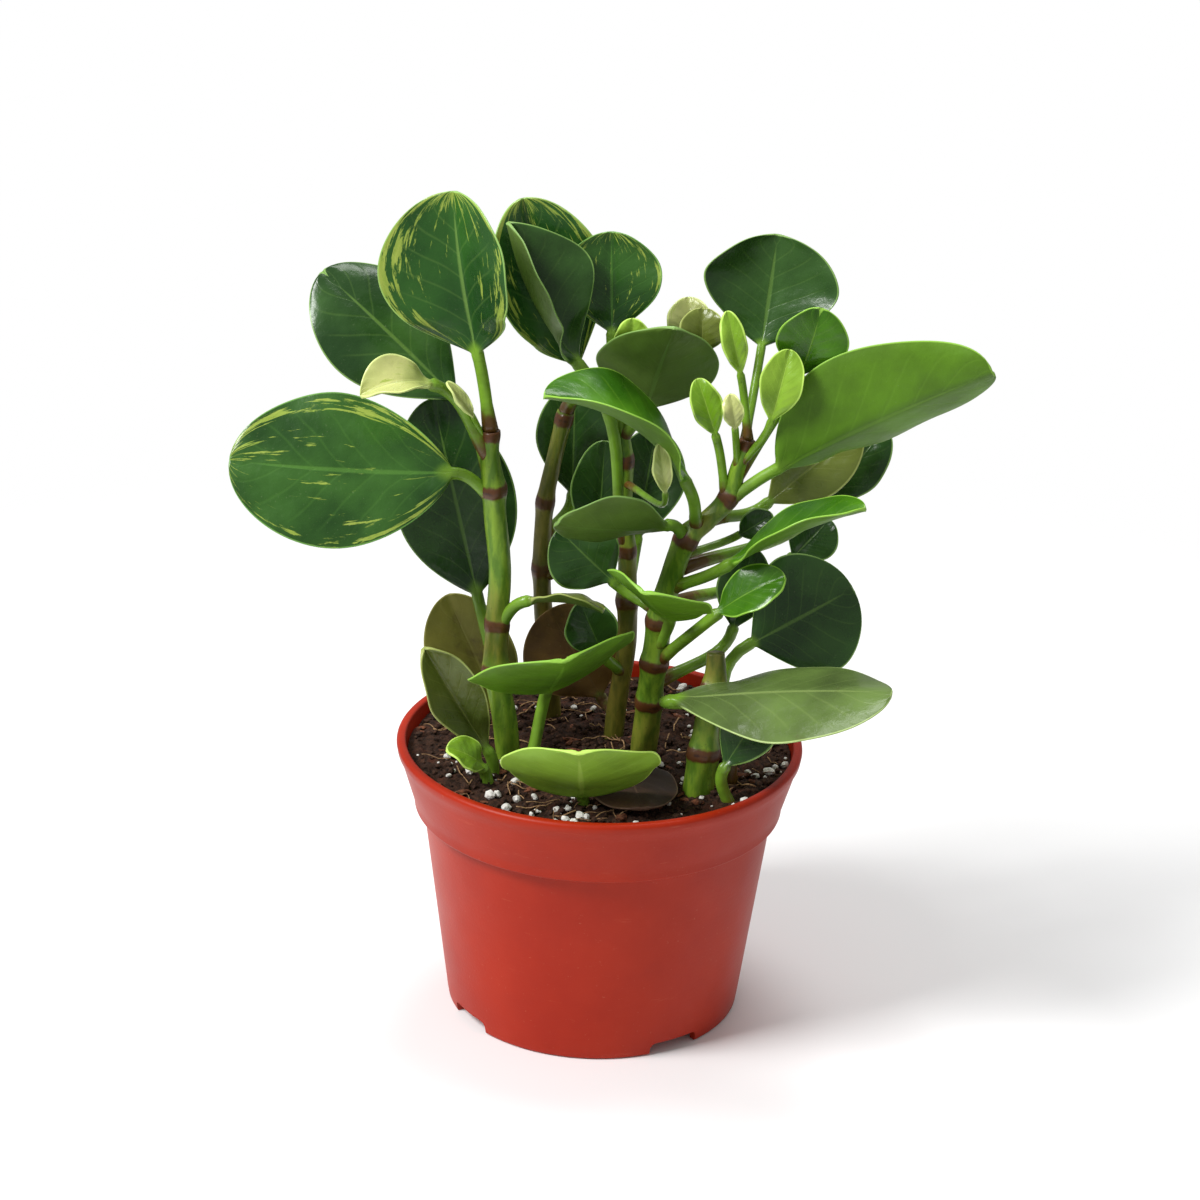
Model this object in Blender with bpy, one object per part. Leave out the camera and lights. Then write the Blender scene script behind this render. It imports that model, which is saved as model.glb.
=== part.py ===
"""Potted peperomia in a plastic nursery pot: pot, soil, stems and leaves as separate solids.

X is to the right, Y is away from the front, Z is up. Lengths below are in millimetres.
"""

import bpy
import bmesh
import numpy as np

MM = 0.001
GAP = 0.3

# Pot: a turned shell with a wide collar, a rolled lip and a floor raised on a foot ring.
RIM_RADIUS = 52.0
POT_HEIGHT = 72.6
COLLAR_BOTTOM = 54.7
COLLAR_LOW_RADIUS = 47.3
BODY_TOP_RADIUS = 45.1
FOOT_RADIUS = 38.0
WALL = 1.6
FLOOR_UNDERSIDE = 4.0
FLOOR_TOP = 5.6
POT_SEGMENTS = 52
DRAIN_RADIUS = 3.5
DRAIN_CIRCLE = 23.0
DRAIN_COUNT = 6
DRAIN_TURN = 0.21
CENTRE_DRAIN = 4.0
NOTCH_ANGLES = (34.0, 124.0, 214.0, 304.0)
NOTCH_WIDTH = 14.0
NOTCH_HEIGHT = 3.2

# Soil: fills the pot to just under the lip, with a slightly uneven top.
SOIL_TOP = 69.4
SOIL_RIPPLE = 0.7
SOIL_SEGMENTS = 36
STEM_DEPTH = 58.0

# Leaf solids
LEAF_THICK = 1.1
PETIOLE_RADIUS = 1.5
PETIOLE_FOOT = 1.35
LEAF_ROWS = 8
PETIOLE_ROWS = 3

COLOURS = {
    "pot": (0.52, 0.10, 0.045),
    "soil": (0.05, 0.028, 0.018),
    "stem": (0.20, 0.30, 0.05),
    "leaf": (0.045, 0.13, 0.025),
    "leaf_pale": (0.20, 0.34, 0.06),
    "leaf_old": (0.16, 0.10, 0.045),
}

for old in list(bpy.data.objects):
    bpy.data.objects.remove(old, do_unlink=True)


def material(name):
    found = bpy.data.materials.get(name)
    if found is None:
        found = bpy.data.materials.new(name)
        found.use_nodes = True
        shader = found.node_tree.nodes["Principled BSDF"]
        shader.inputs["Base Color"].default_value = (*COLOURS[name], 1.0)
        shader.inputs["Roughness"].default_value = 0.9 if name == "soil" else 0.45
    return found


def solid(name, points, faces, look, helper=False):
    """A closed mesh object from points in millimetres, with its faces turned outwards."""
    mesh = bpy.data.meshes.new(name)
    mesh.from_pydata([tuple(p * MM) for p in np.asarray(points, float)], [], faces)
    work = bmesh.new()
    work.from_mesh(mesh)
    bmesh.ops.recalc_face_normals(work, faces=work.faces)
    work.to_mesh(mesh)
    work.free()
    obj = bpy.data.objects.new(name, mesh)
    bpy.context.scene.collection.objects.link(obj)
    if helper:
        obj.hide_render = True
        obj.display_type = "WIRE"
    else:
        mesh.materials.append(material(look))
    return obj


def cut(target, cutter):
    change = target.modifiers.new("cut_" + cutter.name, "BOOLEAN")
    change.operation = "DIFFERENCE"
    change.solver = "EXACT"
    change.object = cutter


def unit(vector):
    return vector / np.linalg.norm(vector)


def ring_faces(rings, count):
    """Quads between successive rings of count points, and a cap at each end."""
    faces = []
    for i in range(rings - 1):
        for j in range(count):
            k = (j + 1) % count
            faces.append((i * count + j, i * count + k, (i + 1) * count + k, (i + 1) * count + j))
    faces.append(tuple(range(count))[::-1])
    faces.append(tuple((rings - 1) * count + j for j in range(count)))
    return faces


def turned(profile, segments):
    """Points and faces of a closed profile of (radius, height) turned round the Z axis."""
    angles = np.linspace(0, 2 * np.pi, segments, endpoint=False)
    count = len(profile)
    points = [(r * np.cos(a), r * np.sin(a), z) for a in angles for r, z in profile]
    faces = []
    for i in range(segments):
        for j in range(count):
            a = i * count + j
            b = i * count + (j + 1) % count
            c = (i + 1) % segments * count + (j + 1) % count
            d = (i + 1) % segments * count + j
            faces.append((a, b, c, d))
    return np.array(points), faces


def cylinder(name, x, y, low, high, radius, segments=14):
    angles = np.linspace(0, 2 * np.pi, segments, endpoint=False)
    circle = [(x + radius * np.cos(a), y + radius * np.sin(a)) for a in angles]
    points = [(px, py, z) for z in (low, high) for px, py in circle]
    return solid(name, points, ring_faces(2, segments), "pot", helper=True)


def make_pot():
    inner = RIM_RADIUS - 2.9
    collar_inner = COLLAR_LOW_RADIUS - WALL
    body_inner = BODY_TOP_RADIUS - WALL
    profile = [
        (FOOT_RADIUS - 2.6, 0.4),
        (FOOT_RADIUS - 2.2, 0.0),
        (FOOT_RADIUS - 0.7, 0.0),
        (FOOT_RADIUS, 0.8),
        (BODY_TOP_RADIUS, COLLAR_BOTTOM),
        (COLLAR_LOW_RADIUS - 0.9, COLLAR_BOTTOM),
        (COLLAR_LOW_RADIUS, COLLAR_BOTTOM + 0.9),
        (RIM_RADIUS - 0.9, POT_HEIGHT - 3.0),
        (RIM_RADIUS, POT_HEIGHT - 2.0),
        (RIM_RADIUS, POT_HEIGHT - 0.9),
        (RIM_RADIUS - 0.8, POT_HEIGHT - 0.1),
        (RIM_RADIUS - 1.6, POT_HEIGHT),
        (inner + 0.4, POT_HEIGHT - 0.3),
        (inner, POT_HEIGHT - 1.2),
        (collar_inner, COLLAR_BOTTOM + 1.8),
        (body_inner, COLLAR_BOTTOM - 0.6),
        (FOOT_RADIUS - WALL + 0.6, FLOOR_TOP + 1.2),
        (FOOT_RADIUS - WALL - 0.4, FLOOR_TOP),
        (CENTRE_DRAIN, FLOOR_TOP),
        (CENTRE_DRAIN, FLOOR_UNDERSIDE),
        (FOOT_RADIUS - 3.0, FLOOR_UNDERSIDE),
    ]
    points, faces = turned(profile, POT_SEGMENTS)
    pot = solid("pot", points, faces, "pot")
    for i in range(DRAIN_COUNT):
        a = 2 * np.pi * i / DRAIN_COUNT + DRAIN_TURN
        x = DRAIN_CIRCLE * np.cos(a)
        y = DRAIN_CIRCLE * np.sin(a)
        hole = cylinder(f"drain_{i + 1}", x, y, FLOOR_UNDERSIDE - 2, FLOOR_TOP + 2, DRAIN_RADIUS)
        cut(pot, hole)
    for i, angle in enumerate(NOTCH_ANGLES):
        a = np.radians(angle - 90)
        out = np.array([np.cos(a), np.sin(a), 0.0])
        side = np.array([-out[1], out[0], 0.0])
        up = np.array([0.0, 0.0, 1.0])
        points = []
        for reach in (FOOT_RADIUS - 8, FOOT_RADIUS + 6):
            for half, z in ((0.5, -2.0), (-0.5, -2.0), (-0.36, NOTCH_HEIGHT), (0.36, NOTCH_HEIGHT)):
                points.append(out * reach + side * half * NOTCH_WIDTH + up * z)
        cut(pot, solid(f"notch_{i + 1}", points, ring_faces(2, 4), "pot", helper=True))
    return pot


def soil_level(x, y):
    """Height of the soil: gentle bumps, and a little lower towards the back left."""
    bumps = np.sin(x * 0.16 + 0.6) * np.cos(y * 0.19 - 0.4) + 0.5 * np.sin(x * 0.33 - y * 0.27)
    return SOIL_TOP + SOIL_RIPPLE * 0.6 * bumps + 0.008 * x - 0.008 * y


def soil_shape(raised):
    """The soil as a stack of rings, and its top raised by this much for use as a cutter."""
    collar_inner = COLLAR_LOW_RADIUS - WALL
    body_inner = BODY_TOP_RADIUS - WALL
    inner = RIM_RADIUS - 2.9
    sides = [
        (FOOT_RADIUS - WALL - 0.9, FLOOR_TOP + GAP),
        (FOOT_RADIUS - WALL + 0.1, FLOOR_TOP + 1.5),
        (body_inner - 0.5, COLLAR_BOTTOM - 0.3),
        (collar_inner - 0.5, COLLAR_BOTTOM + 2.3),
    ]
    angles = np.linspace(0, 2 * np.pi, SOIL_SEGMENTS, endpoint=False)
    points = []
    for radius, z in sides:
        points += [(radius * np.cos(a), radius * np.sin(a), z) for a in angles]
    for radius in (inner - 1.0, 41.0, 32.0, 22.0, 12.0, 4.0):
        for a in angles:
            x = radius * np.cos(a)
            y = radius * np.sin(a)
            points.append((x, y, soil_level(x, y) + raised))
    return points, ring_faces(len(sides) + 6, SOIL_SEGMENTS)


def smooth_path(corners, steps):
    """A curve through the corners, as Catmull-Rom pieces of this many steps each."""
    c = np.array(corners, float)
    c = np.vstack([2 * c[0] - c[1], c, 2 * c[-1] - c[-2]])
    points = []
    for i in range(1, len(c) - 2):
        for t in np.arange(steps) / steps:
            p0, p1, p2, p3 = c[i - 1 : i + 3]
            points.append(
                0.5 * (2 * p1 + (p2 - p0) * t + (2 * p0 - 5 * p1 + 4 * p2 - p3) * t * t
                       + (3 * p1 - p0 - 3 * p2 + p3) * t**3)
            )
    points.append(c[-2])
    return np.array(points)


def tube(path, radii, count):
    """Points of a round tube along a path, one ring of count points for each path point."""
    tangents = np.gradient(path, axis=0)
    points = []
    for centre, tangent, radius in zip(path, tangents, radii):
        tangent = unit(tangent)
        front = np.array([0.0, -1.0, 0.0])
        front = unit(front - tangent * (front @ tangent))
        side = np.cross(tangent, front)
        for a in np.linspace(0, 2 * np.pi, count, endpoint=False):
            points.append(centre + radius * (np.cos(a) * front + np.sin(a) * side))
    return np.array(points)


stem_axes = {}
stem_cutters = {}


def stem(name, corners, radii, steps=2, count=10):
    """A stem through the corners. Its foot goes into a socket in the soil."""
    path = smooth_path(corners, steps)
    spread = np.interp(np.linspace(0, len(radii) - 1, len(path)), np.arange(len(radii)), radii)
    faces = ring_faces(len(path), count)
    solid(name, tube(path, spread, count), faces, "stem")
    longer = path.copy()
    longer[0] = longer[0] + unit(path[0] - path[1]) * GAP
    longer[-1] = longer[-1] + unit(path[-1] - path[-2]) * GAP
    wider = solid(name + "_space", tube(longer, spread + GAP * 1.15, count), faces, "stem", helper=True)
    stem_axes[name] = path
    stem_cutters[name] = wider
    return wider


def stem_point(name, height):
    path = stem_axes[name]
    order = np.argsort(path[:, 2])
    x = np.interp(height, path[order, 2], path[order, 0])
    y = np.interp(height, path[order, 2], path[order, 1])
    return np.array([x, y, min(height, path[-1, 2])])


def direction(azimuth, elevation):
    """A unit vector. Azimuth 0 points to the front and 90 to the right."""
    a = np.radians(azimuth)
    e = np.radians(elevation)
    return np.array([np.sin(a) * np.cos(e), -np.cos(a) * np.cos(e), np.sin(e)])


def turn_about(vector, axis, degrees):
    a = np.radians(degrees)
    across = np.cross(axis, vector)
    return vector * np.cos(a) + across * np.sin(a) + axis * (axis @ vector) * (1 - np.cos(a))


def curve(corners, t):
    """A Bezier curve with three or four corners, at the parameters t."""
    t = np.asarray(t, float)[:, None]
    s = 1 - t
    if len(corners) == 3:
        return s * s * corners[0] + 2 * s * t * corners[1] + t * t * corners[2]
    first, second, third, last = corners
    return s**3 * first + 3 * s * s * t * second + 3 * s * t * t * third + t**3 * last


def slope(corners, t):
    step = 1e-3
    rise = curve(corners, np.asarray(t) + step) - curve(corners, np.asarray(t) - step)
    return rise / np.linalg.norm(rise, axis=1)[:, None]


def outline(t, widest, taper, blunt):
    """Half width of a leaf at t along it, as a share of the greatest."""
    power = np.log(0.5) / np.log(widest)
    round_off = taper + (blunt - taper) * t
    return np.sin(np.pi * min(max(t, 0.0), 1.0) ** power) ** round_off


def leaf(name, node, base, tip, width, face, fold=10, fold_r=None, curl=10, curl_r=None, arch=3.0,
         sway=0.0, widest=0.56, widest_r=None, blunt=0.5, taper=0.8, notch=0.0, share=1.0,
         share_r=1.0, petiole=PETIOLE_RADIUS, look="leaf", small=False):
    """One leaf with its petiole, as one solid that ends a gap away from what carries it.

    node is a stem and a height on it, or "soil" and a place on the ground. The blade runs from
    base to tip, and its glossy side looks to face, an azimuth and an elevation. Each half rises
    from the midrib by fold degrees and bends by curl degrees more. arch bows the midrib out.
    """
    fold_r = fold if fold_r is None else fold_r
    curl_r = curl if curl_r is None else curl_r
    widest_r = widest if widest_r is None else widest_r
    rows = 6 if small else LEAF_ROWS
    across = np.linspace(-1, 1, 3 if small else 5)
    base = np.array(base, float)
    tip = np.array(tip, float)
    chord = unit(tip - base)
    facing = direction(*face)
    facing = unit(facing - chord * (facing @ chord))
    bow = (base + tip) / 2 + facing * arch + np.cross(chord, facing) * sway
    even = np.linspace(0, 1, rows)
    along = 0.35 * even + 0.65 * (0.5 - 0.5 * np.cos(np.pi * even))
    along[-1] = 0.985
    rib = [base, bow, tip]
    rib_points = curve(rib, along)
    rib_slopes = slope(rib, along)
    if node[0] == "soil":
        start = np.array([node[1], node[2], SOIL_TOP - 3.0])
        cutter = soil_cutter
    else:
        start = stem_point(*node)
        cutter = stem_cutters[node[0]]
    reach = 0.4 * np.linalg.norm(base - start)
    stalk = [start, start + unit(base - start) * reach, base - rib_slopes[0] * reach, base]
    stalk_along = np.linspace(0, 1, PETIOLE_ROWS + 1)[:-1]
    centres = np.vstack([curve(stalk, stalk_along), rib_points])
    slopes = np.vstack([slope(stalk, stalk_along), rib_slopes])
    ring_size = 2 * len(across)
    points = []
    for i, (centre, ahead) in enumerate(zip(centres, slopes)):
        up = unit(facing - ahead * (facing @ ahead))
        right = np.cross(ahead, up)
        if i < PETIOLE_ROWS:
            grown = min(1.0, stalk_along[i] * 3)
            radius = petiole * (PETIOLE_FOOT + (1 - PETIOLE_FOOT) * grown)
            for j in range(ring_size):
                a = np.pi * (1 - (j + 0.5) / len(across))
                points.append(centre + radius * (np.cos(a) * right + np.sin(a) * up))
            continue
        t = along[i - PETIOLE_ROWS]
        floor = max(petiole * (1 - 6 * t), 0.3)
        half_left = max(width / 2 * share * outline(t, widest, taper, blunt), floor)
        half_right = max(width / 2 * share_r * outline(t, widest_r, taper, blunt), floor)
        flat = min(1.0, t / 0.12)
        height = petiole * (1 - flat) + LEAF_THICK / 2 * flat
        risen = min(1.0, t / 0.25)
        for surface in (1, -1):
            for x in across[:: surface]:
                half = half_left if x < 0 else half_right
                rise = np.radians(fold if x < 0 else fold_r) * risen
                bend = np.radians(curl if x < 0 else curl_r) * risen
                steps = np.linspace(0, abs(x), 9)
                out = np.trapz(np.cos(rise + bend * steps), steps) * half * np.sign(x)
                lift = np.trapz(np.sin(rise + bend * steps), steps) * half
                end = rise + bend * abs(x)
                normal = np.cos(end) * up - np.sin(end) * np.sign(x) * right
                thick = height * (1 - 0.5 * x**4) * surface
                dip = notch * max(0.0, 1 - abs(x) / 0.35) ** 2 * max(0.0, t - 0.6) / 0.4
                points.append(centre + right * out + up * lift + normal * thick - ahead * dip)
    obj = solid(name, points, ring_faces(len(centres), ring_size), look)
    cut(obj, cutter)
    return obj


make_pot()
soil_cutter = solid("soil_raised", *soil_shape(GAP), "soil", helper=True)
soil = solid("soil", *soil_shape(0.0), "soil")

# Stems: five shoots from the soil, with swollen nodes
STEM_LEFT = "stem_left"
STEM_MIDDLE = "stem_middle"
STEM_FRONT = "stem_front"
STEM_BACK = "stem_back"
STEM_RIGHT = "stem_right"
sockets = [
    stem(STEM_LEFT,
         [(-22, -8, STEM_DEPTH), (-24, -8, 78), (-26.5, -8, 94), (-26.5, -7, 106), (-26, -7, 120),
          (-27.5, -6.5, 136), (-28, -6.5, 142), (-29, -7, 150), (-29, -7, 157)],
         [3.4, 3.3, 3.4, 3.0, 3.0, 3.0, 3.1, 2.5, 2.3]),
    stem(STEM_MIDDLE,
         [(3, 7, STEM_DEPTH), (4, 7, 78), (6, 6.5, 94), (6, 6, 108), (5.5, 5, 122), (4.5, 5, 134),
          (4, 5, 146), (2.5, 7, 158), (1, 9, 168)],
         [2.8, 2.7, 2.6, 2.8, 2.3, 2.2, 2.4, 1.9, 1.6]),
    stem(STEM_FRONT,
         [(10.5, 1, STEM_DEPTH), (12, -1, 80), (13, -4, 94), (14, -6, 106), (16, -8, 118),
          (20, -9, 131), (25, -8.5, 136), (30, -8, 142), (32, -8, 150), (34, -8, 157)],
         [3.8, 3.6, 3.4, 3.5, 3.1, 3.0, 2.6, 2.5, 2.0, 1.8]),
    stem(STEM_BACK,
         [(-12, 19, STEM_DEPTH), (-14, 20, 84), (-16, 21, 104), (-16, 22, 124), (-14, 23, 138),
          (-11, 24, 152)],
         [2.8, 2.7, 2.5, 2.4, 2.2, 2.2]),
    stem(STEM_RIGHT,
         [(24, -24, STEM_DEPTH), (25.5, -23.5, 78), (26.5, -22, 88), (28, -20, 98), (28, -19, 105)],
         [4.4, 4.0, 3.3, 3.0, 2.4]),
]
for socket in sockets:
    cut(soil, socket)

# Leaves on the left stem
leaf("leaf_left_upright", (STEM_LEFT, 157), base=(-32.5, -5, 176), tip=(-39, -2, 215.5), width=41,
     face=(-22, 12), fold=14, fold_r=32, curl=5, arch=2, sway=-1, widest=0.52)
leaf("leaf_left_wide", (STEM_LEFT, 139), base=(-38, -8, 146), tip=(-92.5, -12, 149), width=39,
     face=(0, 32), fold=0, curl=-4, arch=2, sway=-2, widest=0.54, taper=0.6)
leaf("leaf_left_curled", (STEM_LEFT, 150), base=(-43, -12, 170), tip=(-60, -18, 168.5), width=15,
     face=(0, 60), fold=20, curl=30, arch=5, blunt=0.8, look="leaf_pale", small=True)
leaf("leaf_left_back", (STEM_LEFT, 143), base=(-38, 4, 161), tip=(-72, 14, 190), width=32,
     face=(15, 40), fold=5, curl=-25, arch=4, sway=-1, notch=2)
leaf("leaf_left_shaded", (STEM_LEFT, 92), base=(-32, 2, 110), tip=(-44, 8, 160), width=31,
     face=(0, 15), fold=8, curl=8, widest=0.5)
leaf("leaf_left_inner", (STEM_LEFT, 105), base=(-19, -11, 114), tip=(0, -16, 114), width=17,
     face=(180, 70), fold=5, curl=8)
leaf("leaf_left_yellowing", ("soil", -25, 6), base=(-25, 7, 75), tip=(-40, 9, 107), width=24,
     face=(-10, 15), arch=2, look="leaf_old")
leaf("leaf_left_folded", ("soil", -26, -16), base=(-28, -16, 75), tip=(-44, -22, 105), width=17,
     face=(20, 15), fold=30, arch=-3)
leaf("leaf_left_sprout", ("soil", -27, -22), base=(-29, -22, 73), tip=(-38, -26, 80), width=10,
     face=(0, 60), look="leaf_pale", small=True)

# Leaves low at the front and in the middle
leaf("leaf_front_raised", ("soil", -18, -14), base=(-13, -18, 94), tip=(-9, -43, 112), width=44,
     face=(208, 48), fold=8, arch=-1, taper=0.5, widest=0.5)
leaf("leaf_front_low", ("soil", -3, -32), base=(-4, -35, 73.5), tip=(-5, -51, 91.5), width=40,
     face=(182, 40), fold=8, curl=8, arch=-1, taper=0.45, widest=0.45, look="leaf_pale")
leaf("leaf_centre_dying", (STEM_MIDDLE, 76), base=(0, 13, 78), tip=(-14, 16, 101), width=28,
     face=(0, 20), look="leaf_old")
leaf("leaf_front_dead", ("soil", 4, -8), base=(5, -12, 73), tip=(11, -42, 72.8), width=23,
     face=(0, 88), fold=-2, curl=-8, arch=1, look="leaf_old")
leaf("leaf_low_inner", (STEM_MIDDLE, 88), base=(0, 0, 96), tip=(-6, -3, 111), width=14,
     face=(0, 20), small=True)
leaf("leaf_centre_glossy", (STEM_FRONT, 110), base=(2, -2, 116.5), tip=(-12, -2, 130), width=20,
     face=(-5, 20))
leaf("leaf_centre_cupped", (STEM_FRONT, 98), base=(16, -15, 113), tip=(9.5, -35, 127), width=29,
     face=(140, 58), fold=12, curl=8, arch=-1, taper=0.5)
leaf("leaf_centre_boat", (STEM_FRONT, 131), base=(15, -13, 136), tip=(-12, -24, 140), width=28,
     face=(215, 48), fold=5, curl=8, arch=-2)
leaf("leaf_centre_arched", (STEM_FRONT, 134), base=(19, -18, 149), tip=(-16, -23, 171.5), width=34,
     face=(68, 57), fold=35, curl=0, fold_r=5, arch=12)

# Leaves at the top and the back, on the middle and back stems
leaf("leaf_top_back", (STEM_BACK, 152), base=(-8, 16, 167), tip=(-23, 18, 209), width=32,
     face=(0, 5), fold=45, curl=0, fold_r=0, arch=2, sway=-3)
leaf("leaf_top_folded", (STEM_MIDDLE, 122), base=(-8, 4, 171), tip=(-26, 6, 206), width=34,
     face=(62, 8), fold=48, curl=4, arch=-7, blunt=0.7)
leaf("leaf_top_round", (STEM_MIDDLE, 168), base=(0, 11, 177), tip=(-1, 15, 202), width=26,
     face=(-4, 12), fold=8, arch=0)
leaf("leaf_top_bud", (STEM_MIDDLE, 164), base=(5, 3, 174), tip=(5, 2, 184), width=9,
     face=(0, 20), petiole=1.0, look="leaf_pale", small=True)
leaf("leaf_centre_upper", (STEM_MIDDLE, 152), base=(9, 3, 161.5), tip=(15, -11, 186), width=31,
     face=(183, 33), fold=4, arch=2, widest=0.42, blunt=0.75)
leaf("leaf_top_small", (STEM_MIDDLE, 158), base=(22, 3, 175), tip=(22, 4, 186.5), width=12,
     face=(0, 20), small=True)
leaf("leaf_top_speckled", (STEM_MIDDLE, 163), base=(20, 24, 168), tip=(19, 28, 182), width=12,
     face=(0, 20), look="leaf_pale", small=True)
leaf("leaf_back_left", (STEM_BACK, 118), base=(-9, 28, 128), tip=(-9, 34, 156), width=20,
     face=(0, 20))
leaf("leaf_back_middle", (STEM_BACK, 108), base=(-2, 17, 118), tip=(-1, 20, 146), width=16,
     face=(0, 20))
leaf("leaf_back_centre", (STEM_MIDDLE, 110), base=(8, 19, 120), tip=(12, 27, 147), width=20,
     face=(0, 20))

# Leaves on the right
leaf("leaf_right_yellow_bud", (STEM_FRONT, 141), base=(26, -9, 158), tip=(21, -7, 172), width=8,
     face=(0, 20), petiole=1.1, look="leaf_pale", small=True)
leaf("leaf_right_cream_bud", (STEM_FRONT, 149), base=(30.5, -12, 161), tip=(29, -12, 170),
     width=5.5, face=(0, 20), petiole=0.9, look="leaf_pale", small=True)
leaf("leaf_shoot_left", (STEM_FRONT, 157), base=(31.5, -7, 173), tip=(27.5, -6, 189), width=6.5,
     face=(0, 20), petiole=1.0, look="leaf_pale", small=True)
leaf("leaf_shoot_right", (STEM_FRONT, 150), base=(39, -12, 163), tip=(43, -10, 181), width=11,
     face=(0, 20), petiole=1.0, look="leaf_pale", small=True)
leaf("leaf_top_right_round", (STEM_FRONT, 152), base=(36, 10, 175.5), tip=(38, 17, 200), width=35,
     face=(-8, 15), fold=5, curl=45, curl_r=20, arch=-3, blunt=0.45, petiole=1.1)
leaf("leaf_right_notched", (STEM_FRONT, 145), base=(46, -4, 173), tip=(50, -8, 192), width=20,
     face=(10, 30), fold=5, notch=2, petiole=1.1)
leaf("leaf_right_long", (STEM_FRONT, 140), base=(41.5, -10, 150.5), tip=(92, -15, 179.5), width=34,
     face=(180, 10), fold=30, curl=20, fold_r=4, share=0.75, widest_r=0.38, widest=0.55,
     look="leaf_pale")
leaf("leaf_right_olive", (STEM_FRONT, 136), base=(40, 2, 137), tip=(62, 4, 157), width=18,
     face=(0, 20))
leaf("leaf_right_grey", (STEM_FRONT, 122), base=(54, 8, 134.5), tip=(69, 11, 155), width=15,
     face=(0, 20))
leaf("leaf_right_wavy", (STEM_FRONT, 117), base=(30, -16, 127), tip=(62, -27, 147), width=20,
     face=(-79, 58), fold=10, curl=0, fold_r=35)
leaf("leaf_right_small", (STEM_FRONT, 95), base=(28, -18, 115), tip=(44, -22, 127), width=13,
     face=(0, 50))
leaf("leaf_right_dark", ("soil", 33, -18), base=(37, -10, 104), tip=(62, -6, 118), width=32,
     face=(0, 18), fold=4, curl=4)
leaf("leaf_right_hidden", (STEM_FRONT, 112), base=(48, 17, 117), tip=(57, 19, 127), width=14,
     face=(0, 20), small=True)
leaf("leaf_front_broad", (STEM_RIGHT, 92), base=(17, -29, 95), tip=(70, -41, 105), width=32,
     face=(0, 74), fold=-20, curl=4, fold_r=-8)
leaf("leaf_front_corner", ("soil", 33, -29), base=(31, -30, 79), tip=(43, -26, 97), width=15,
     face=(-15, 35), small=True)
leaf("leaf_right_short", (STEM_FRONT, 126), base=(33, -5, 131), tip=(41, -6, 137), width=8,
     face=(0, 20), petiole=1.0, small=True)
leaf("leaf_right_shaded", (STEM_FRONT, 88), base=(33, 4, 102), tip=(37, 5, 124), width=14,
     face=(0, 20), small=True)

# The whole model moves so that the middle of its box, seen from above, is over the origin.
bpy.context.view_layer.update()
graph = bpy.context.evaluated_depsgraph_get()
corners = []
for shown in bpy.data.objects:
    if not shown.hide_render:
        for vertex in shown.evaluated_get(graph).data.vertices:
            corners.append((vertex.co.x, vertex.co.y))
middle = (np.min(corners, axis=0) + np.max(corners, axis=0)) / 2
for every in bpy.data.objects:
    for vertex in every.data.vertices:
        vertex.co.x -= middle[0]
        vertex.co.y -= middle[1]
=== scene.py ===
"""Potted peperomia: detailed leaves, stems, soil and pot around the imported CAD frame."""

import bmesh
import bpy
import numpy as np
from mathutils import Matrix, Vector


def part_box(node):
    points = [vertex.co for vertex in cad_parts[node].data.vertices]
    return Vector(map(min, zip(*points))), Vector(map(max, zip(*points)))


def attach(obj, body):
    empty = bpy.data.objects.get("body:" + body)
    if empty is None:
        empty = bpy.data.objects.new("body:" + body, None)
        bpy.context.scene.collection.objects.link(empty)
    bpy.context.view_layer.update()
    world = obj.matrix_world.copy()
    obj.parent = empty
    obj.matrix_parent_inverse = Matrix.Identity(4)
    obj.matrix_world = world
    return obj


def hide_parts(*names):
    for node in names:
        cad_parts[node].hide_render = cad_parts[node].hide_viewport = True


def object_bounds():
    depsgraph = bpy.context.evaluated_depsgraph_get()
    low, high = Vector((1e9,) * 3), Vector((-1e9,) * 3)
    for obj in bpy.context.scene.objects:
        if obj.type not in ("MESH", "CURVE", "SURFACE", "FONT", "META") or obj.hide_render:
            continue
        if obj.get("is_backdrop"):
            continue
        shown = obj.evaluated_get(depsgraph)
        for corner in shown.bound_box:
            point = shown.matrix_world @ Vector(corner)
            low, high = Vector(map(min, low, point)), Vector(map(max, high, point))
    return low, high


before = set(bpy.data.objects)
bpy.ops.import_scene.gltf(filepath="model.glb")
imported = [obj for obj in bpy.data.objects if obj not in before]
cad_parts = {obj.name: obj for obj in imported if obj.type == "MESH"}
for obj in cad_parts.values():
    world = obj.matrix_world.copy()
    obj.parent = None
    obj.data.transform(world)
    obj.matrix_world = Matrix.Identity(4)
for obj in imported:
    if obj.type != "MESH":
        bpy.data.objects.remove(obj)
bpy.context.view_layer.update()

MM = 0.001

# Pot, in millimetres, as in the CAD
RIM_RADIUS = 52.0
POT_HEIGHT = 72.6
COLLAR_BOTTOM = 54.7
COLLAR_LOW_RADIUS = 47.3
BODY_TOP_RADIUS = 45.1
FOOT_RADIUS = 38.0
WALL = 1.6
FLOOR_UNDERSIDE = 4.0
FLOOR_TOP = 5.6
POT_SEGMENTS = 192
DRAIN_RADIUS = 3.5
DRAIN_CIRCLE = 23.0
DRAIN_COUNT = 6
DRAIN_TURN = 0.21
CENTRE_DRAIN = 4.0
NOTCH_ANGLES = (34.0, 124.0, 214.0, 304.0)
NOTCH_WIDTH = 14.0
NOTCH_HEIGHT = 3.2
SOIL_TOP = 69.4
SOIL_RIPPLE = 0.7
STEM_DEPTH = 58.0
LEAF_THICK = 1.1
PETIOLE_RADIUS = 1.5
PETIOLE_FOOT = 1.35
LEAF_ROWS = 44
LEAF_COLUMNS = 25
PETIOLE_ROWS = 12

pot_low, pot_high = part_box("pot")
POT_AXIS = Vector(((pot_low[0] + pot_high[0]) / 2, (pot_low[1] + pot_high[1]) / 2, 0.0))


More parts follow.
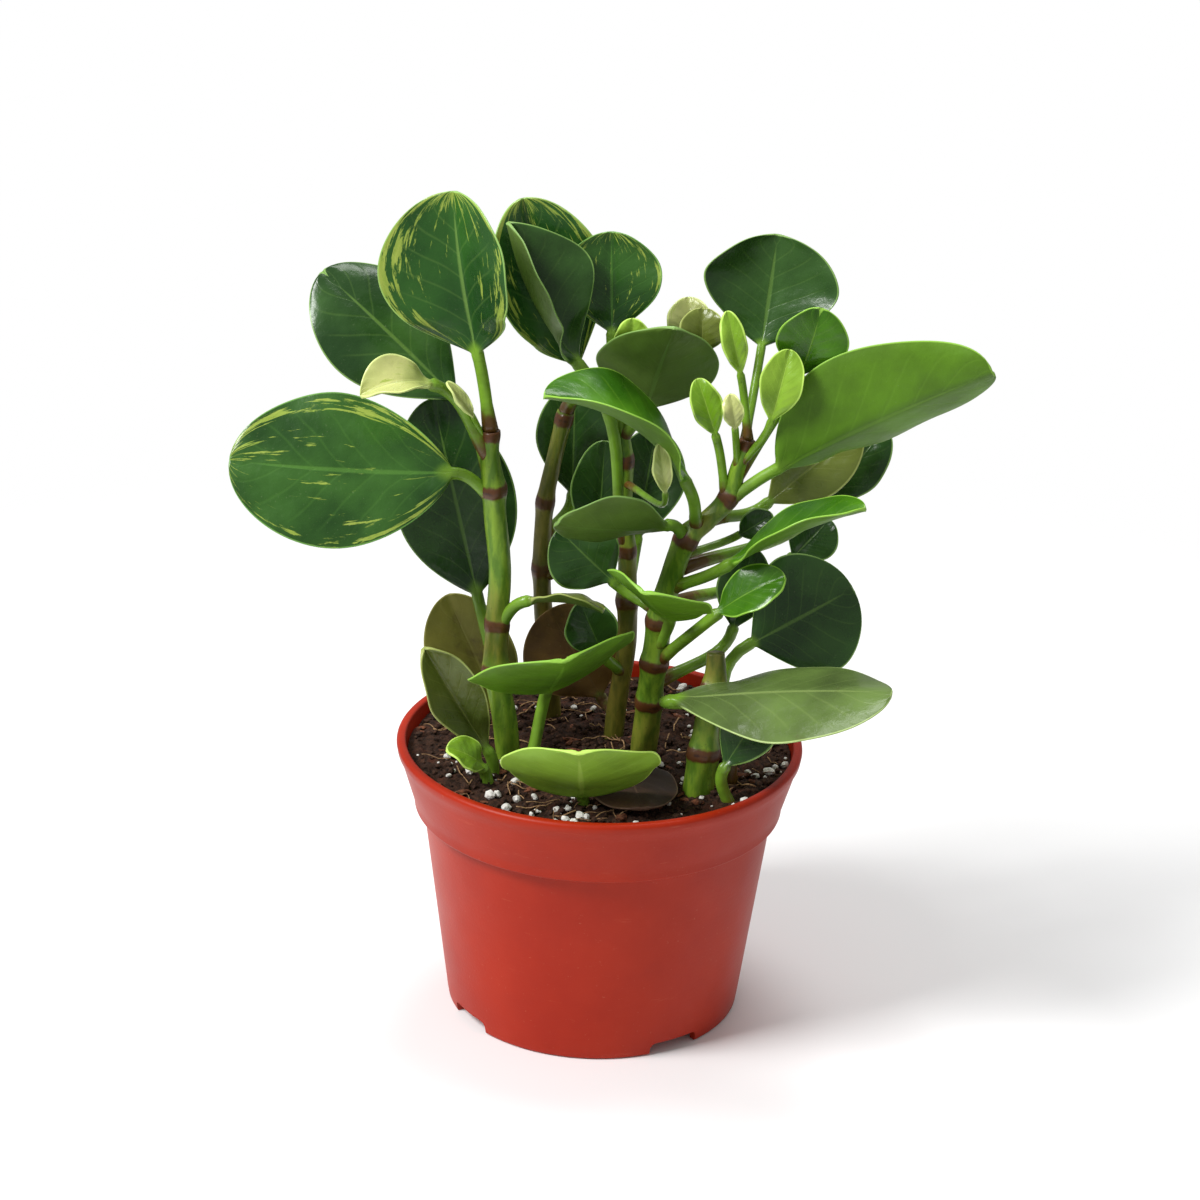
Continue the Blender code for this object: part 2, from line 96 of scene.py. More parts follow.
# ---------------------------------------------------------------- node helpers


def linear(red, green, blue):
    """A colour given as it looks on screen, 0 to 255, as linear light."""
    parts = np.array([red, green, blue]) / 255.0
    low = parts / 12.92
    high = ((parts + 0.055) / 1.055) ** 2.4
    return (*np.where(parts <= 0.04045, low, high), 1.0)


class Nodes:
    """Short calls that add and link shader nodes in one material."""

    def __init__(self, name):
        self.material = bpy.data.materials.new(name)
        self.material.use_nodes = True
        self.tree = self.material.node_tree
        self.shader = self.tree.nodes["Principled BSDF"]

    def put(self, socket, value):
        if isinstance(value, bpy.types.NodeSocket):
            self.tree.links.new(value, socket)
        elif value is not None:
            socket.default_value = value

    def add(self, kind, **settings):
        node = self.tree.nodes.new(kind)
        for key, value in settings.items():
            setattr(node, key, value)
        return node

    def maths(self, operation, first, second=None, third=None, clamp=False):
        node = self.add("ShaderNodeMath", operation=operation, use_clamp=clamp)
        for socket, value in zip(node.inputs, (first, second, third)):
            self.put(socket, value)
        return node.outputs[0]

    def mix(self, share, first, second):
        node = self.add("ShaderNodeMix", data_type="RGBA")
        self.put(node.inputs[0], share)
        self.put(node.inputs[6], first)
        self.put(node.inputs[7], second)
        return node.outputs[2]

    def step(self, value, low, high):
        """0 below low, 1 above high, smooth between."""
        node = self.add("ShaderNodeMapRange", interpolation_type="SMOOTHSTEP")
        self.put(node.inputs[0], value)
        self.put(node.inputs[1], low)
        self.put(node.inputs[2], high)
        return node.outputs[0]

    def noise(self, vector, scale, detail=3.0, rough=0.55, warp=0.0):
        node = self.add("ShaderNodeTexNoise")
        self.put(node.inputs["Vector"], vector)
        self.put(node.inputs["Scale"], scale)
        self.put(node.inputs["Detail"], detail)
        self.put(node.inputs["Roughness"], rough)
        self.put(node.inputs["Distortion"], warp)
        return node.outputs["Fac"]

    def cells(self, vector, scale):
        node = self.add("ShaderNodeTexVoronoi")
        self.put(node.inputs["Vector"], vector)
        self.put(node.inputs["Scale"], scale)
        return node.outputs["Distance"]

    def attribute(self, name, output="Fac"):
        return self.add("ShaderNodeAttribute", attribute_name=name).outputs[output]

    def split(self, vector):
        node = self.add("ShaderNodeSeparateXYZ")
        self.put(node.inputs[0], vector)
        return node.outputs

    def join(self, x, y, z):
        node = self.add("ShaderNodeCombineXYZ")
        for socket, value in zip(node.inputs, (x, y, z)):
            self.put(socket, value)
        return node.outputs[0]

    def object_place(self):
        return self.add("ShaderNodeTexCoord").outputs["Object"]

    def bump(self, height, distance, strength=1.0, under=None):
        node = self.add("ShaderNodeBump")
        self.put(node.inputs["Height"], height)
        self.put(node.inputs["Distance"], distance)
        self.put(node.inputs["Strength"], strength)
        self.put(node.inputs["Normal"], under)
        return node.outputs[0]

    def finish(self, colour, roughness, normal=None, specular=0.5):
        self.put(self.shader.inputs["Base Color"], colour)
        self.put(self.shader.inputs["Roughness"], roughness)
        self.put(self.shader.inputs["Normal"], normal)
        self.shader.inputs["Specular IOR Level"].default_value = specular
        return self.material


# ---------------------------------------------------------------- materials

LEAF_LOOKS = {
    "dark": dict(deep=(30, 62, 22), fresh=(58, 96, 38), vein=(104, 140, 62), under=(98, 128, 46),
                 fleck=0.0, brown=0.0),
    "streaked": dict(deep=(26, 66, 22), fresh=(50, 98, 34), vein=(120, 158, 74),
                     under=(112, 140, 52), fleck=0.62, brown=0.0),
    "edged": dict(deep=(28, 64, 20), fresh=(56, 100, 34), vein=(86, 134, 52),
                  under=(110, 140, 52), fleck=0.42, brown=0.0),
    "fresh": dict(deep=(44, 92, 12), fresh=(84, 140, 22), vein=(124, 172, 50),
                  under=(98, 146, 20), fleck=0.0, brown=0.0),
    "dusty": dict(deep=(78, 96, 50), fresh=(108, 134, 66), vein=(146, 168, 96),
                  under=(120, 146, 60), fleck=0.0, brown=0.12),
    "bright": dict(deep=(112, 156, 30), fresh=(150, 190, 60), vein=(170, 204, 84),
                   under=(136, 178, 48), fleck=0.0, brown=0.0),
    "cream": dict(deep=(150, 168, 84), fresh=(206, 208, 136), vein=(190, 204, 120),
                  under=(196, 200, 124), fleck=0.3, brown=0.12),
    "olive": dict(deep=(82, 96, 34), fresh=(116, 128, 52), vein=(140, 150, 74),
                  under=(122, 134, 66), fleck=0.0, brown=0.0),
    "yellowing": dict(deep=(104, 104, 34), fresh=(140, 136, 52), vein=(150, 146, 70),
                      under=(146, 140, 62), fleck=0.0, brown=0.5),
    "dying": dict(deep=(92, 62, 30), fresh=(140, 104, 44), vein=(120, 92, 50),
                  under=(130, 98, 50), fleck=0.0, brown=0.7),
    "dead": dict(deep=(44, 30, 22), fresh=(74, 52, 36), vein=(84, 62, 44), under=(70, 50, 36),
                 fleck=0.0, brown=0.9),
}


def leaf_material(look, seed):
    """Glossy face and pale matt underside, with a midrib, side veins, a pale margin and flecks."""
    c = LEAF_LOOKS[look]
    n = Nodes(f"leaf_{look}_{seed}")
    across, along, face = n.split(n.attribute("leaf_place", "Vector"))
    rim = n.attribute("leaf_rim")
    stalk = n.attribute("leaf_stalk")
    side = n.maths("ABSOLUTE", across)
    place = n.object_place()
    shifted = n.add("ShaderNodeVectorMath", operation="ADD")
    n.put(shifted.inputs[0], place)
    shifted.inputs[1].default_value = (seed * 0.37, seed * 0.21, seed * 0.13)
    place = shifted.outputs[0]
    top = n.step(face, -0.15, 0.15)

    broad = n.step(n.noise(place, 45.0, 3.0), 0.3, 0.7)
    colour = n.mix(broad, linear(*c["deep"]), linear(*c["fresh"]))
    if c["fleck"] > 0:
        down = n.maths("MULTIPLY_ADD", side, -1.2, n.maths("MULTIPLY", along, 1.6))
        streak_place = n.join(n.maths("MULTIPLY", across, 5.0), down, float(seed))
        streaks = n.noise(streak_place, 2.2, 6.0, 0.68, 0.3)
        near_edge = n.maths("POWER", n.maths("MAXIMUM", side, n.maths("POWER", along, 3.0)), 2.5)
        level = n.maths("MULTIPLY_ADD", near_edge, 0.16 * c["fleck"] / 0.62,
                        n.maths("SUBTRACT", streaks, 0.06))
        flecks = n.step(level, 0.56, 0.60)
        tint = n.mix(n.noise(streak_place, 5.0, 2.0), linear(120, 156, 44), linear(190, 202, 96))
        colour = n.mix(n.maths("MULTIPLY", flecks, 0.85), colour, tint)
    # Side veins curve towards the tip on each half.
    wave = n.maths("MULTIPLY_ADD", along, 7.0, n.maths("MULTIPLY", n.maths("POWER", side, 0.8), -2.2))
    wave = n.maths("ADD", wave, n.maths("MULTIPLY", n.noise(place, 60.0, 2.0), 0.5))
    ridge = n.maths("ABSOLUTE", n.maths("SUBTRACT", n.maths("FRACT", wave), 0.5))
    ridge = n.maths("SUBTRACT", 1.0, n.step(ridge, 0.0, 0.09))
    ridge = n.maths("MULTIPLY", ridge, n.maths("SUBTRACT", 1.0, n.step(side, 0.55, 0.9)))
    rib_width = n.maths("MULTIPLY_ADD", along, -0.035, 0.05)
    rib = n.maths("SUBTRACT", 1.0, n.step(n.maths("DIVIDE", side, rib_width), 0.4, 1.3))
    rib = n.maths("MULTIPLY", rib, n.maths("SUBTRACT", 1.0, n.step(along, 0.78, 0.95)))
    colour = n.mix(n.maths("MULTIPLY", ridge, 0.16), colour, linear(*c["vein"]))
    colour = n.mix(n.maths("MULTIPLY", rib, 0.6), colour, linear(*c["vein"]))

    under = n.mix(n.step(n.noise(place, 70.0, 3.0), 0.3, 0.75), linear(*c["under"]),
                  linear(*[0.82 * v for v in c["under"]]))
    under = n.mix(n.maths("MULTIPLY", ridge, 0.14), under, linear(*c["vein"]))
    under = n.mix(n.maths("MULTIPLY", rib, 0.5), under, linear(*c["vein"]))
    colour = n.mix(top, under, colour)

    margin = n.step(rim, 0.45, 0.8)
    pale_rim = linear(*[min(255, 1.12 * v + 26) for v in c["vein"]])
    colour = n.mix(n.maths("MULTIPLY", margin, 0.8), colour, pale_rim)
    if c["brown"] > 0:
        blotch = n.step(n.noise(place, 110.0, 4.0, 0.65), 0.66 - 0.25 * c["brown"], 0.78)
        colour = n.mix(n.maths("MULTIPLY", blotch, min(1.0, 0.35 + 0.6 * c["brown"])), colour,
                       linear(74, 46, 28))
    green = linear(110, 74, 44) if look in ("dead", "dying") else linear(124, 168, 46)
    lit = n.mix(n.step(n.noise(place, 160.0, 2.0), 0.35, 0.7), green, linear(104, 140, 40))
    colour = n.mix(n.step(stalk, 0.25, 0.75), colour, lit)
    sheath = n.step(n.maths("ADD", stalk, n.maths("MULTIPLY", n.noise(place, 420.0, 3.0), 0.25)),
                    1.82, 2.02)
    colour = n.mix(n.maths("MULTIPLY", sheath, 0.9), colour, linear(96, 48, 26))
    dust = n.step(n.noise(place, 1500.0, 2.0, 0.6), 0.66, 0.78)
    colour = n.mix(n.maths("MULTIPLY", dust, 0.10), colour, linear(190, 200, 160))

    dull = 0.34 if look in ("yellowing", "dying", "dead") else 0.0
    gloss = n.maths("MULTIPLY_ADD", n.noise(place, 90.0, 3.0), 0.16, 0.20 + dull)
    matt = n.maths("MULTIPLY_ADD", n.noise(place, 200.0, 3.0), 0.14, 0.44 + dull)
    rough = n.add("ShaderNodeMix", data_type="FLOAT")
    n.put(rough.inputs[0], top)
    n.put(rough.inputs[2], matt)
    n.put(rough.inputs[3], gloss)
    height = n.maths("MULTIPLY_ADD", ridge, -0.25, n.noise(place, 900.0, 3.0))
    height = n.maths("SUBTRACT", height, n.maths("MULTIPLY", rib, 0.8))
    broad_height = n.noise(place, 130.0, 2.0)
    normal = n.bump(broad_height, 0.0008, 0.5)
    normal = n.bump(height, 0.00012, 0.6, normal)
    return n.finish(colour, rough.outputs[0], normal, specular=0.42)


def stem_material(seed):
    """Green waxy stem that turns olive and red-brown at its joints, with small dark specks."""
    n = Nodes(f"stem_{seed}")
    joint = n.attribute("stem_joint")
    old = n.attribute("stem_old")
    place = n.object_place()
    spot = n.split(place)
    drawn = n.join(n.maths("MULTIPLY", spot[0], 4.0), n.maths("MULTIPLY", spot[1], 4.0), spot[2])
    fibre = n.noise(drawn, 110.0, 4.0, 0.6)
    green = n.mix(n.step(fibre, 0.35, 0.65), linear(86, 124, 26), linear(132, 166, 46))
    aged = n.mix(n.step(fibre, 0.3, 0.7), linear(88, 84, 26), linear(134, 124, 48))
    colour = n.mix(n.step(n.maths("ADD", old, n.maths("MULTIPLY", fibre, 0.3)), 0.45, 0.85),
                   green, aged)
    rust = n.maths("ADD", joint, n.maths("MULTIPLY_ADD", n.noise(place, 330.0, 4.0, 0.65), 0.7, -0.35))
    colour = n.mix(n.step(rust, 0.45, 0.75), colour, linear(92, 54, 24))
    colour = n.mix(n.step(rust, 0.95, 1.1), colour, linear(60, 32, 18))
    speck = n.step(n.cells(place, 620.0), 0.16, 0.10)
    colour = n.mix(n.maths("MULTIPLY", speck, 0.35), colour, linear(70, 56, 24))
    rough = n.maths("MULTIPLY_ADD", n.noise(place, 240.0, 3.0), 0.22, 0.28)
    height = n.maths("MULTIPLY_ADD", n.step(rust, 0.4, 0.9), 0.8, fibre)
    return n.finish(colour, rough, n.bump(height, 0.00025, 0.6))


def pot_material():
    """Moulded terracotta-red plastic: satin, with faint mould rings, scuffs and dust."""
    n = Nodes("pot_plastic")
    place = n.object_place()
    spot = n.split(place)
    cloud = n.noise(place, 26.0, 4.0, 0.6)
    colour = n.mix(n.step(cloud, 0.3, 0.72), linear(160, 34, 8), linear(174, 42, 12))
    drawn = n.join(spot[0], spot[1], n.maths("MULTIPLY", spot[2], 9.0))
    scuff = n.step(n.noise(drawn, 75.0, 6.0, 0.7), 0.63, 0.72)
    colour = n.mix(n.maths("MULTIPLY", scuff, 0.22), colour, linear(206, 112, 82))
    dust = n.step(n.noise(place, 900.0, 3.0, 0.7), 0.66, 0.74)
    colour = n.mix(n.maths("MULTIPLY", dust, 0.16), colour, linear(214, 150, 120))
    rough = n.maths("MULTIPLY_ADD", n.noise(place, 60.0, 4.0), 0.16, 0.34)
    rough = n.maths("MULTIPLY_ADD", scuff, 0.12, rough)
    rings = n.maths("SINE", n.maths("MULTIPLY", spot[2], 3800.0))
    height = n.maths("MULTIPLY_ADD", rings, 0.05, n.noise(place, 1400.0, 3.0, 0.6))
    normal = n.bump(n.noise(place, 40.0, 2.0), 0.0006, 0.5)
    return n.finish(colour, rough, n.bump(height, 0.00006, 0.7, normal), specular=0.22)


def soil_material():
    """Dark peat with reddish crumbs."""
    n = Nodes("soil_peat")
    place = n.object_place()
    crumbs = n.cells(place, 420.0)
    fine = n.noise(place, 900.0, 5.0, 0.7)
    colour = n.mix(n.step(fine, 0.35, 0.7), linear(38, 24, 17), linear(82, 54, 38))
    red = n.step(n.noise(place, 160.0, 3.0), 0.55, 0.7)
    colour = n.mix(n.maths("MULTIPLY", red, 0.5), colour, linear(96, 50, 34))
    colour = n.mix(n.step(crumbs, 0.5, 0.1), colour, linear(58, 38, 27))
    rough = n.maths("MULTIPLY_ADD", fine, 0.15, 0.8)
    height = n.maths("MULTIPLY_ADD", crumbs, -1.0, fine)
    return n.finish(colour, rough, n.bump(height, 0.0012, 0.9), specular=0.25)


def grain_material(name, dark, light, scale, rough_low):
    """A dull material that varies between two colours from grain to grain."""
    n = Nodes(name)
    grain = n.noise(n.object_place(), scale, 4.0, 0.65)
    colour = n.mix(n.step(grain, 0.32, 0.68), linear(*dark), linear(*light))
    rough = n.maths("MULTIPLY_ADD", grain, 0.2, rough_low)
    return n.finish(colour, rough, n.bump(grain, 0.0003, 0.8), specular=0.3)


# ---------------------------------------------------------------- mesh helpers


def unit(vector):
    return vector / np.linalg.norm(vector)


def place_mesh(name, points, faces, look, numbers=None):
    """A mesh object from points in millimetres from the pot's axis, riding on the root body."""
    mesh = bpy.data.meshes.new(name)
    shifted = np.asarray(points, float) * MM + np.array(POT_AXIS)
    mesh.from_pydata([tuple(p) for p in shifted], [], faces)
    for key, values in (numbers or {}).items():
        values = np.asarray(values, float)
        kind = "FLOAT_VECTOR" if values.ndim == 2 else "FLOAT"
        layer = mesh.attributes.new(key, kind, "POINT")
        layer.data.foreach_set("vector" if values.ndim == 2 else "value", values.ravel())
    mesh.polygons.foreach_set("use_smooth", [True] * len(mesh.polygons))
    mesh.materials.append(look)
    obj = bpy.data.objects.new(name, mesh)
    bpy.context.scene.collection.objects.link(obj)
    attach(obj, "root")
    return obj


def ring_faces(rings, count):
    """Faces that join rings of count points each, with both ends closed."""
    faces = []
    for i in range(rings - 1):
        for j in range(count):
            k = (j + 1) % count
            faces.append((i * count + j, i * count + k, (i + 1) * count + k, (i + 1) * count + j))
    faces.append(tuple(range(count))[::-1])
    faces.append(tuple((rings - 1) * count + j for j in range(count)))
    return faces


def smooth_path(corners, steps):
    """A curve through the corners, as Catmull-Rom pieces of this many steps each."""
    c = np.array(corners, float)
    c = np.vstack([2 * c[0] - c[1], c, 2 * c[-1] - c[-2]])
    points = []
    for i in range(1, len(c) - 2):
        for t in np.arange(steps) / steps:
            p0, p1, p2, p3 = c[i - 1 : i + 3]
            points.append(
                0.5 * (2 * p1 + (p2 - p0) * t + (2 * p0 - 5 * p1 + 4 * p2 - p3) * t * t
                       + (3 * p1 - p0 - 3 * p2 + p3) * t**3)
            )
    points.append(c[-2])
    return np.array(points)


def tube(path, radii, count):
    """Points of a round tube along a path, one ring of count points for each path point."""
    tangents = np.gradient(path, axis=0)
    points = []
    for centre, tangent, radius in zip(path, tangents, radii):
        tangent = unit(tangent)
        front = np.array([0.0, -1.0, 0.0]) if abs(tangent[1]) < 0.9 else np.array([1.0, 0.0, 0.0])
        front = unit(front - tangent * (front @ tangent))
        side = np.cross(tangent, front)
        for a in np.linspace(0, 2 * np.pi, count, endpoint=False):
            points.append(centre + radius * (np.cos(a) * front + np.sin(a) * side))
    return np.array(points)


# ---------------------------------------------------------------- plant shapes


def direction(azimuth, elevation):
    """A unit vector. Azimuth 0 points to the front and 90 to the right."""
    a = np.radians(azimuth)
    e = np.radians(elevation)
    return np.array([np.sin(a) * np.cos(e), -np.cos(a) * np.cos(e), np.sin(e)])


def curve(corners, t):
    """A Bezier curve with three or four corners, at the parameters t."""
    t = np.asarray(t, float)[:, None]
    s = 1 - t
    if len(corners) == 3:
        return s * s * corners[0] + 2 * s * t * corners[1] + t * t * corners[2]
    first, second, third, last = corners
    return s**3 * first + 3 * s * s * t * second + 3 * s * t * t * third + t**3 * last


def slope(corners, t):
    step = 1e-3
    rise = curve(corners, np.asarray(t) + step) - curve(corners, np.asarray(t) - step)
    return rise / np.linalg.norm(rise, axis=1)[:, None]


def outline(t, widest, taper, blunt):
    """Half width of a leaf at t along it, as a share of the greatest."""
    power = np.log(0.5) / np.log(widest)
    round_off = taper + (blunt - taper) * t
    return np.sin(np.pi * min(max(t, 0.0), 1.0) ** power) ** round_off


stem_axes = {}
stem_count = 0


def stem(name, corners, radii, joints, old):
    """A stem with swollen, speckled joints at the given heights; old is (height, share) pairs."""
    global stem_count
    stem_count += 1
    coarse = smooth_path(corners, 2)
    stem_axes[name] = coarse
    path = smooth_path(corners, 14)
    spread = np.interp(np.linspace(0, len(radii) - 1, len(path)), np.arange(len(radii)), radii)
    near = np.zeros(len(path))
    for height in joints:
        near = np.maximum(near, np.exp(-(((path[:, 2] - height) / 2.2) ** 2)))
    spread = spread * (0.93 + 0.17 * near)
    count = 28
    points = tube(path, spread, count)
    angle = np.tile(np.linspace(0, 2 * np.pi, count, endpoint=False), len(path))
    row = np.repeat(np.arange(len(path)), count)
    axis = path[row]
    level = path[row, 2]
    ridges = 0.05 * np.sin(3 * angle + level * 0.05) + 0.03 * np.sin(5 * angle - level * 0.31)
    points = axis + (points - axis) * (1 + ridges)[:, None]
    ages = np.interp(path[:, 2], [h for h, _ in old], [s for _, s in old])
    faces = ring_faces(len(path), count)
    numbers = {"stem_joint": near[row], "stem_old": ages[row]}
    look = stem_material(stem_count)
    obj = place_mesh(f"{name}_detail", points, faces, look, numbers)
    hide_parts(name)


def stem_point(name, height):
    path = stem_axes[name]
    order = np.argsort(path[:, 2])
    x = np.interp(height, path[order, 2], path[order, 0])
    y = np.interp(height, path[order, 2], path[order, 1])
    return np.array([x, y, min(height, path[-1, 2])])


leaf_count = 0


def leaf(name, node, base, tip, width, face, fold=10, fold_r=None, curl=10, curl_r=None, arch=3.0,
         sway=0.0, widest=0.56, widest_r=None, blunt=0.5, taper=0.8, notch=0.0, share=1.0,
         share_r=1.0, petiole=PETIOLE_RADIUS, look="dark", ripple=0.35, new=False):
    """One leaf with its petiole; the arguments are those of the CAD leaf, with ripple for waves."""
    global leaf_count
    leaf_count += 1
    seed = leaf_count
    fold_r = fold if fold_r is None else fold_r
    curl_r = curl if curl_r is None else curl_r
    widest_r = widest if widest_r is None else widest_r
    across = np.sin(np.linspace(-1, 1, LEAF_COLUMNS) * np.pi / 2)
    base = np.array(base, float)
    tip = np.array(tip, float)
    length = np.linalg.norm(tip - base)
    chord = unit(tip - base)
    facing = direction(*face)
    facing = unit(facing - chord * (facing @ chord))
    bow = (base + tip) / 2 + facing * arch + np.cross(chord, facing) * sway
    even = np.linspace(0, 1, LEAF_ROWS)
    along = 0.35 * even + 0.65 * (0.5 - 0.5 * np.cos(np.pi * even))
    along[-1] = 0.9985
    rib = [base, bow, tip]
    rib_points = curve(rib, along)
    rib_slopes = slope(rib, along)
    if node[0] == "soil":
        start = np.array([node[1], node[2], SOIL_TOP - 3.0])
    else:
        start = stem_point(*node)
    reach = 0.4 * np.linalg.norm(base - start)
    stalk = [start, start + unit(base - start) * reach, base - rib_slopes[0] * reach, base]
    stalk_along = np.linspace(0, 1, PETIOLE_ROWS + 1)[:-1]
    centres = np.vstack([curve(stalk, stalk_along), rib_points])
    slopes = np.vstack([slope(stalk, stalk_along), rib_slopes])
    ring_size = 2 * len(across)
    points, places, rims, stalks = [], [], [], []
    for i, (centre, ahead) in enumerate(zip(centres, slopes)):
        up = unit(facing - ahead * (facing @ ahead))
        right = np.cross(ahead, up)
        if i < PETIOLE_ROWS:
            s = stalk_along[i]
            grown = min(1.0, s * 3)
            radius = petiole * (PETIOLE_FOOT + (1 - PETIOLE_FOOT) * grown)
            for j in range(ring_size):
                a = np.pi * (1 - (j + 0.5) / len(across))
                points.append(centre + radius * (np.cos(a) * right + np.sin(a) * up))
                places.append((np.cos(a) * 0.02, 0.0, np.sin(a)))
                rims.append(0.0)
                stalks.append(2.0 - s * 0.9)
            continue
        t = along[i - PETIOLE_ROWS]
        floor = max(petiole * (1 - 6 * t), 0.12)
        half_left = max(width / 2 * share * outline(t, widest, taper, blunt), floor)
        half_right = max(width / 2 * share_r * outline(t, widest_r, taper, blunt), floor)
        flat = min(1.0, t / 0.12)
        height = petiole * (1 - flat) + LEAF_THICK / 2 * flat
        risen = min(1.0, t / 0.25)
        waves = ripple * risen * min(1.0, (1 - t) / 0.08)
        for surface in (1, -1):
            for x in across[::surface]:
                half = half_left if x < 0 else half_right
                rise = np.radians(fold if x < 0 else fold_r) * risen
                bend = np.radians(curl if x < 0 else curl_r) * risen
                steps = np.linspace(0, abs(x), 9)
                out = np.trapz(np.cos(rise + bend * steps), steps) * half * np.sign(x)
                lift = np.trapz(np.sin(rise + bend * steps), steps) * half
                end = rise + bend * abs(x)
                normal = np.cos(end) * up - np.sin(end) * np.sign(x) * right
                thick = height * (1 - 0.72 * abs(x) ** 5) * surface
                if surface > 0:
                    thick -= 0.28 * risen * np.exp(-((x * half / 0.9) ** 2))
                else:
                    thick -= 0.38 * risen * (1 - 0.6 * t) * np.exp(-((x * half / 1.0) ** 2))
                wave = np.sin(9.0 * t + 2.1 * np.sign(x) + seed)
                wave += 0.7 * np.sin(17.0 * t - 1.3 * seed + x)
                wave += 0.5 * np.sin(4.0 * t + 5.0 * x + seed * 2.3)
                thick += waves * wave * abs(x) ** 1.6
                vein = np.cos(2 * np.pi * (7.0 * t - 2.2 * abs(x) ** 0.8))
                thick -= 0.07 * risen * vein * min(1.0, abs(x) * 3) * (1 - abs(x) ** 4)
                dip = notch * max(0.0, 1 - abs(x) / 0.35) ** 2 * max(0.0, t - 0.6) / 0.4
                points.append(centre + right * out + up * lift + normal * thick - ahead * dip)
                places.append((x, t, surface))
                edge = min((1 - abs(x)) * half, (1 - t) * length)
                rims.append(float(np.clip(1 - edge / 0.85, 0, 1)) * min(1.0, t / 0.1))
                stalks.append(max(0.0, 1.0 - t / 0.14) * (1 - 0.6 * min(1.0, abs(x) * half / 3.0)))
    obj = place_mesh(name if new else f"{name}_detail", points, ring_faces(len(centres), ring_size),
                     leaf_material(look, seed),
                     {"leaf_place": places, "leaf_rim": rims, "leaf_stalk": stalks})
    if not new:
        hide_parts(name)


# ---------------------------------------------------------------- pot and soil


def arc(cx, cz, radius, start, end, steps):
    """Points (radius, height) of an arc round (cx, cz), from one angle to another in degrees."""
    return [(cx + radius * np.cos(np.radians(a)), cz + radius * np.sin(np.radians(a)))
            for a in np.linspace(start, end, steps)]


def body_radius(z):
    return np.interp(z, [0, COLLAR_BOTTOM], [FOOT_RADIUS, BODY_TOP_RADIUS])


def pot_profile():
    """Outer, inner and underside profiles as (radius, height), with a rounded lip and foot."""
    outer = [(FOOT_RADIUS - 1.2, 0.0)] + arc(FOOT_RADIUS - 0.6, 0.6, 0.62, -80, -5, 5)
    outer += [(body_radius(z), z) for z in np.linspace(2.0, COLLAR_BOTTOM - 1.0, 16)]
    outer += arc(BODY_TOP_RADIUS + 0.55, COLLAR_BOTTOM - 0.15, 0.5, 180, 95, 4)
    outer += arc(COLLAR_LOW_RADIUS - 0.55, COLLAR_BOTTOM + 0.6, 0.58, -85, -5, 5)
    for s in np.linspace(0, 1, 7):
        radius = np.interp(s, [0, 1], [COLLAR_LOW_RADIUS, RIM_RADIUS - 0.9])
        outer.append((radius, np.interp(s, [0, 1], [COLLAR_BOTTOM + 1.6, POT_HEIGHT - 3.6])))
    outer += [(RIM_RADIUS - 0.25, POT_HEIGHT - 2.6)]
    outer += arc(RIM_RADIUS - 1.1, POT_HEIGHT - 1.1, 1.1, 0, 90, 7)
    inner_top = RIM_RADIUS - WALL - 0.6
    inner = arc(inner_top + 0.5, POT_HEIGHT - 0.7, 0.7, 100, 180, 5)
    inner += [(inner_top - 0.5, POT_HEIGHT - 4.0), (COLLAR_LOW_RADIUS - WALL, COLLAR_BOTTOM + 1.0)]
    inner += [(BODY_TOP_RADIUS - WALL, COLLAR_BOTTOM - 2.0), (FOOT_RADIUS - WALL + 0.6, FLOOR_TOP + 1.2),
              (FOOT_RADIUS - WALL - 0.6, FLOOR_TOP)]
    inner += [(r, FLOOR_TOP) for r in (30.0, 20.0, 10.0, 2.0)]
    under = [(r, FLOOR_UNDERSIDE) for r in (2.0, 10.0, 20.0, 30.0, FOOT_RADIUS - WALL - 1.4)]
    under += [(FOOT_RADIUS - WALL - 0.8, FLOOR_UNDERSIDE - 0.6), (FOOT_RADIUS - WALL - 0.8, 0.6),
              (FOOT_RADIUS - WALL - 0.4, 0.0)]
    return outer, inner, under


def boolean_cut(obj, points_list, faces_list):
    """Cuts closed shapes, given in millimetres from the pot's axis, out of the object."""
    cutters = []
    for k, (points, faces) in enumerate(zip(points_list, faces_list)):
        mesh = bpy.data.meshes.new(f"cutter_{k}")
        mesh.from_pydata([tuple(np.asarray(p) * MM + np.array(POT_AXIS)) for p in points], [], faces)
        cutter = bpy.data.objects.new(f"cutter_{k}", mesh)
        bpy.context.scene.collection.objects.link(cutter)
        cutters.append(cutter)
    for cutter in cutters:
        mod = obj.modifiers.new("cut", "BOOLEAN")
        mod.operation = "DIFFERENCE"
        mod.solver = "EXACT"
        mod.object = cutter
    bpy.context.view_layer.update()
    graph = bpy.context.evaluated_depsgraph_get()
    mesh = bpy.data.meshes.new_from_object(obj.evaluated_get(graph))
    obj.modifiers.clear()
    obj.data = mesh
    for cutter in cutters:
        bpy.data.objects.remove(cutter)


def cylinder_points(x, y, low, high, radius, count):
    angles = np.linspace(0, 2 * np.pi, count, endpoint=False)
    return [(x + radius * np.cos(a), y + radius * np.sin(a), z) for z in (low, high) for a in angles]


def notch_points(angle):
    """A block with rounded upper corners that cuts one notch in the foot."""
    along = np.array([np.cos(angle), np.sin(angle), 0])
    side = np.array([-np.sin(angle), np.cos(angle), 0])
    half = NOTCH_WIDTH / 2
    right_side = [(half, -1.0), (half, NOTCH_HEIGHT - 1.2), (half - 0.5, NOTCH_HEIGHT - 0.4),
                  (half - 1.4, NOTCH_HEIGHT)]
    outline_2d = [(-half, -1.0)] + right_side + [(-s, z) for s, z in right_side[:0:-1]]
    return [along * r + side * s + np.array([0, 0, z]) for r in (FOOT_RADIUS - 6, FOOT_RADIUS + 4)
            for s, z in outline_2d]


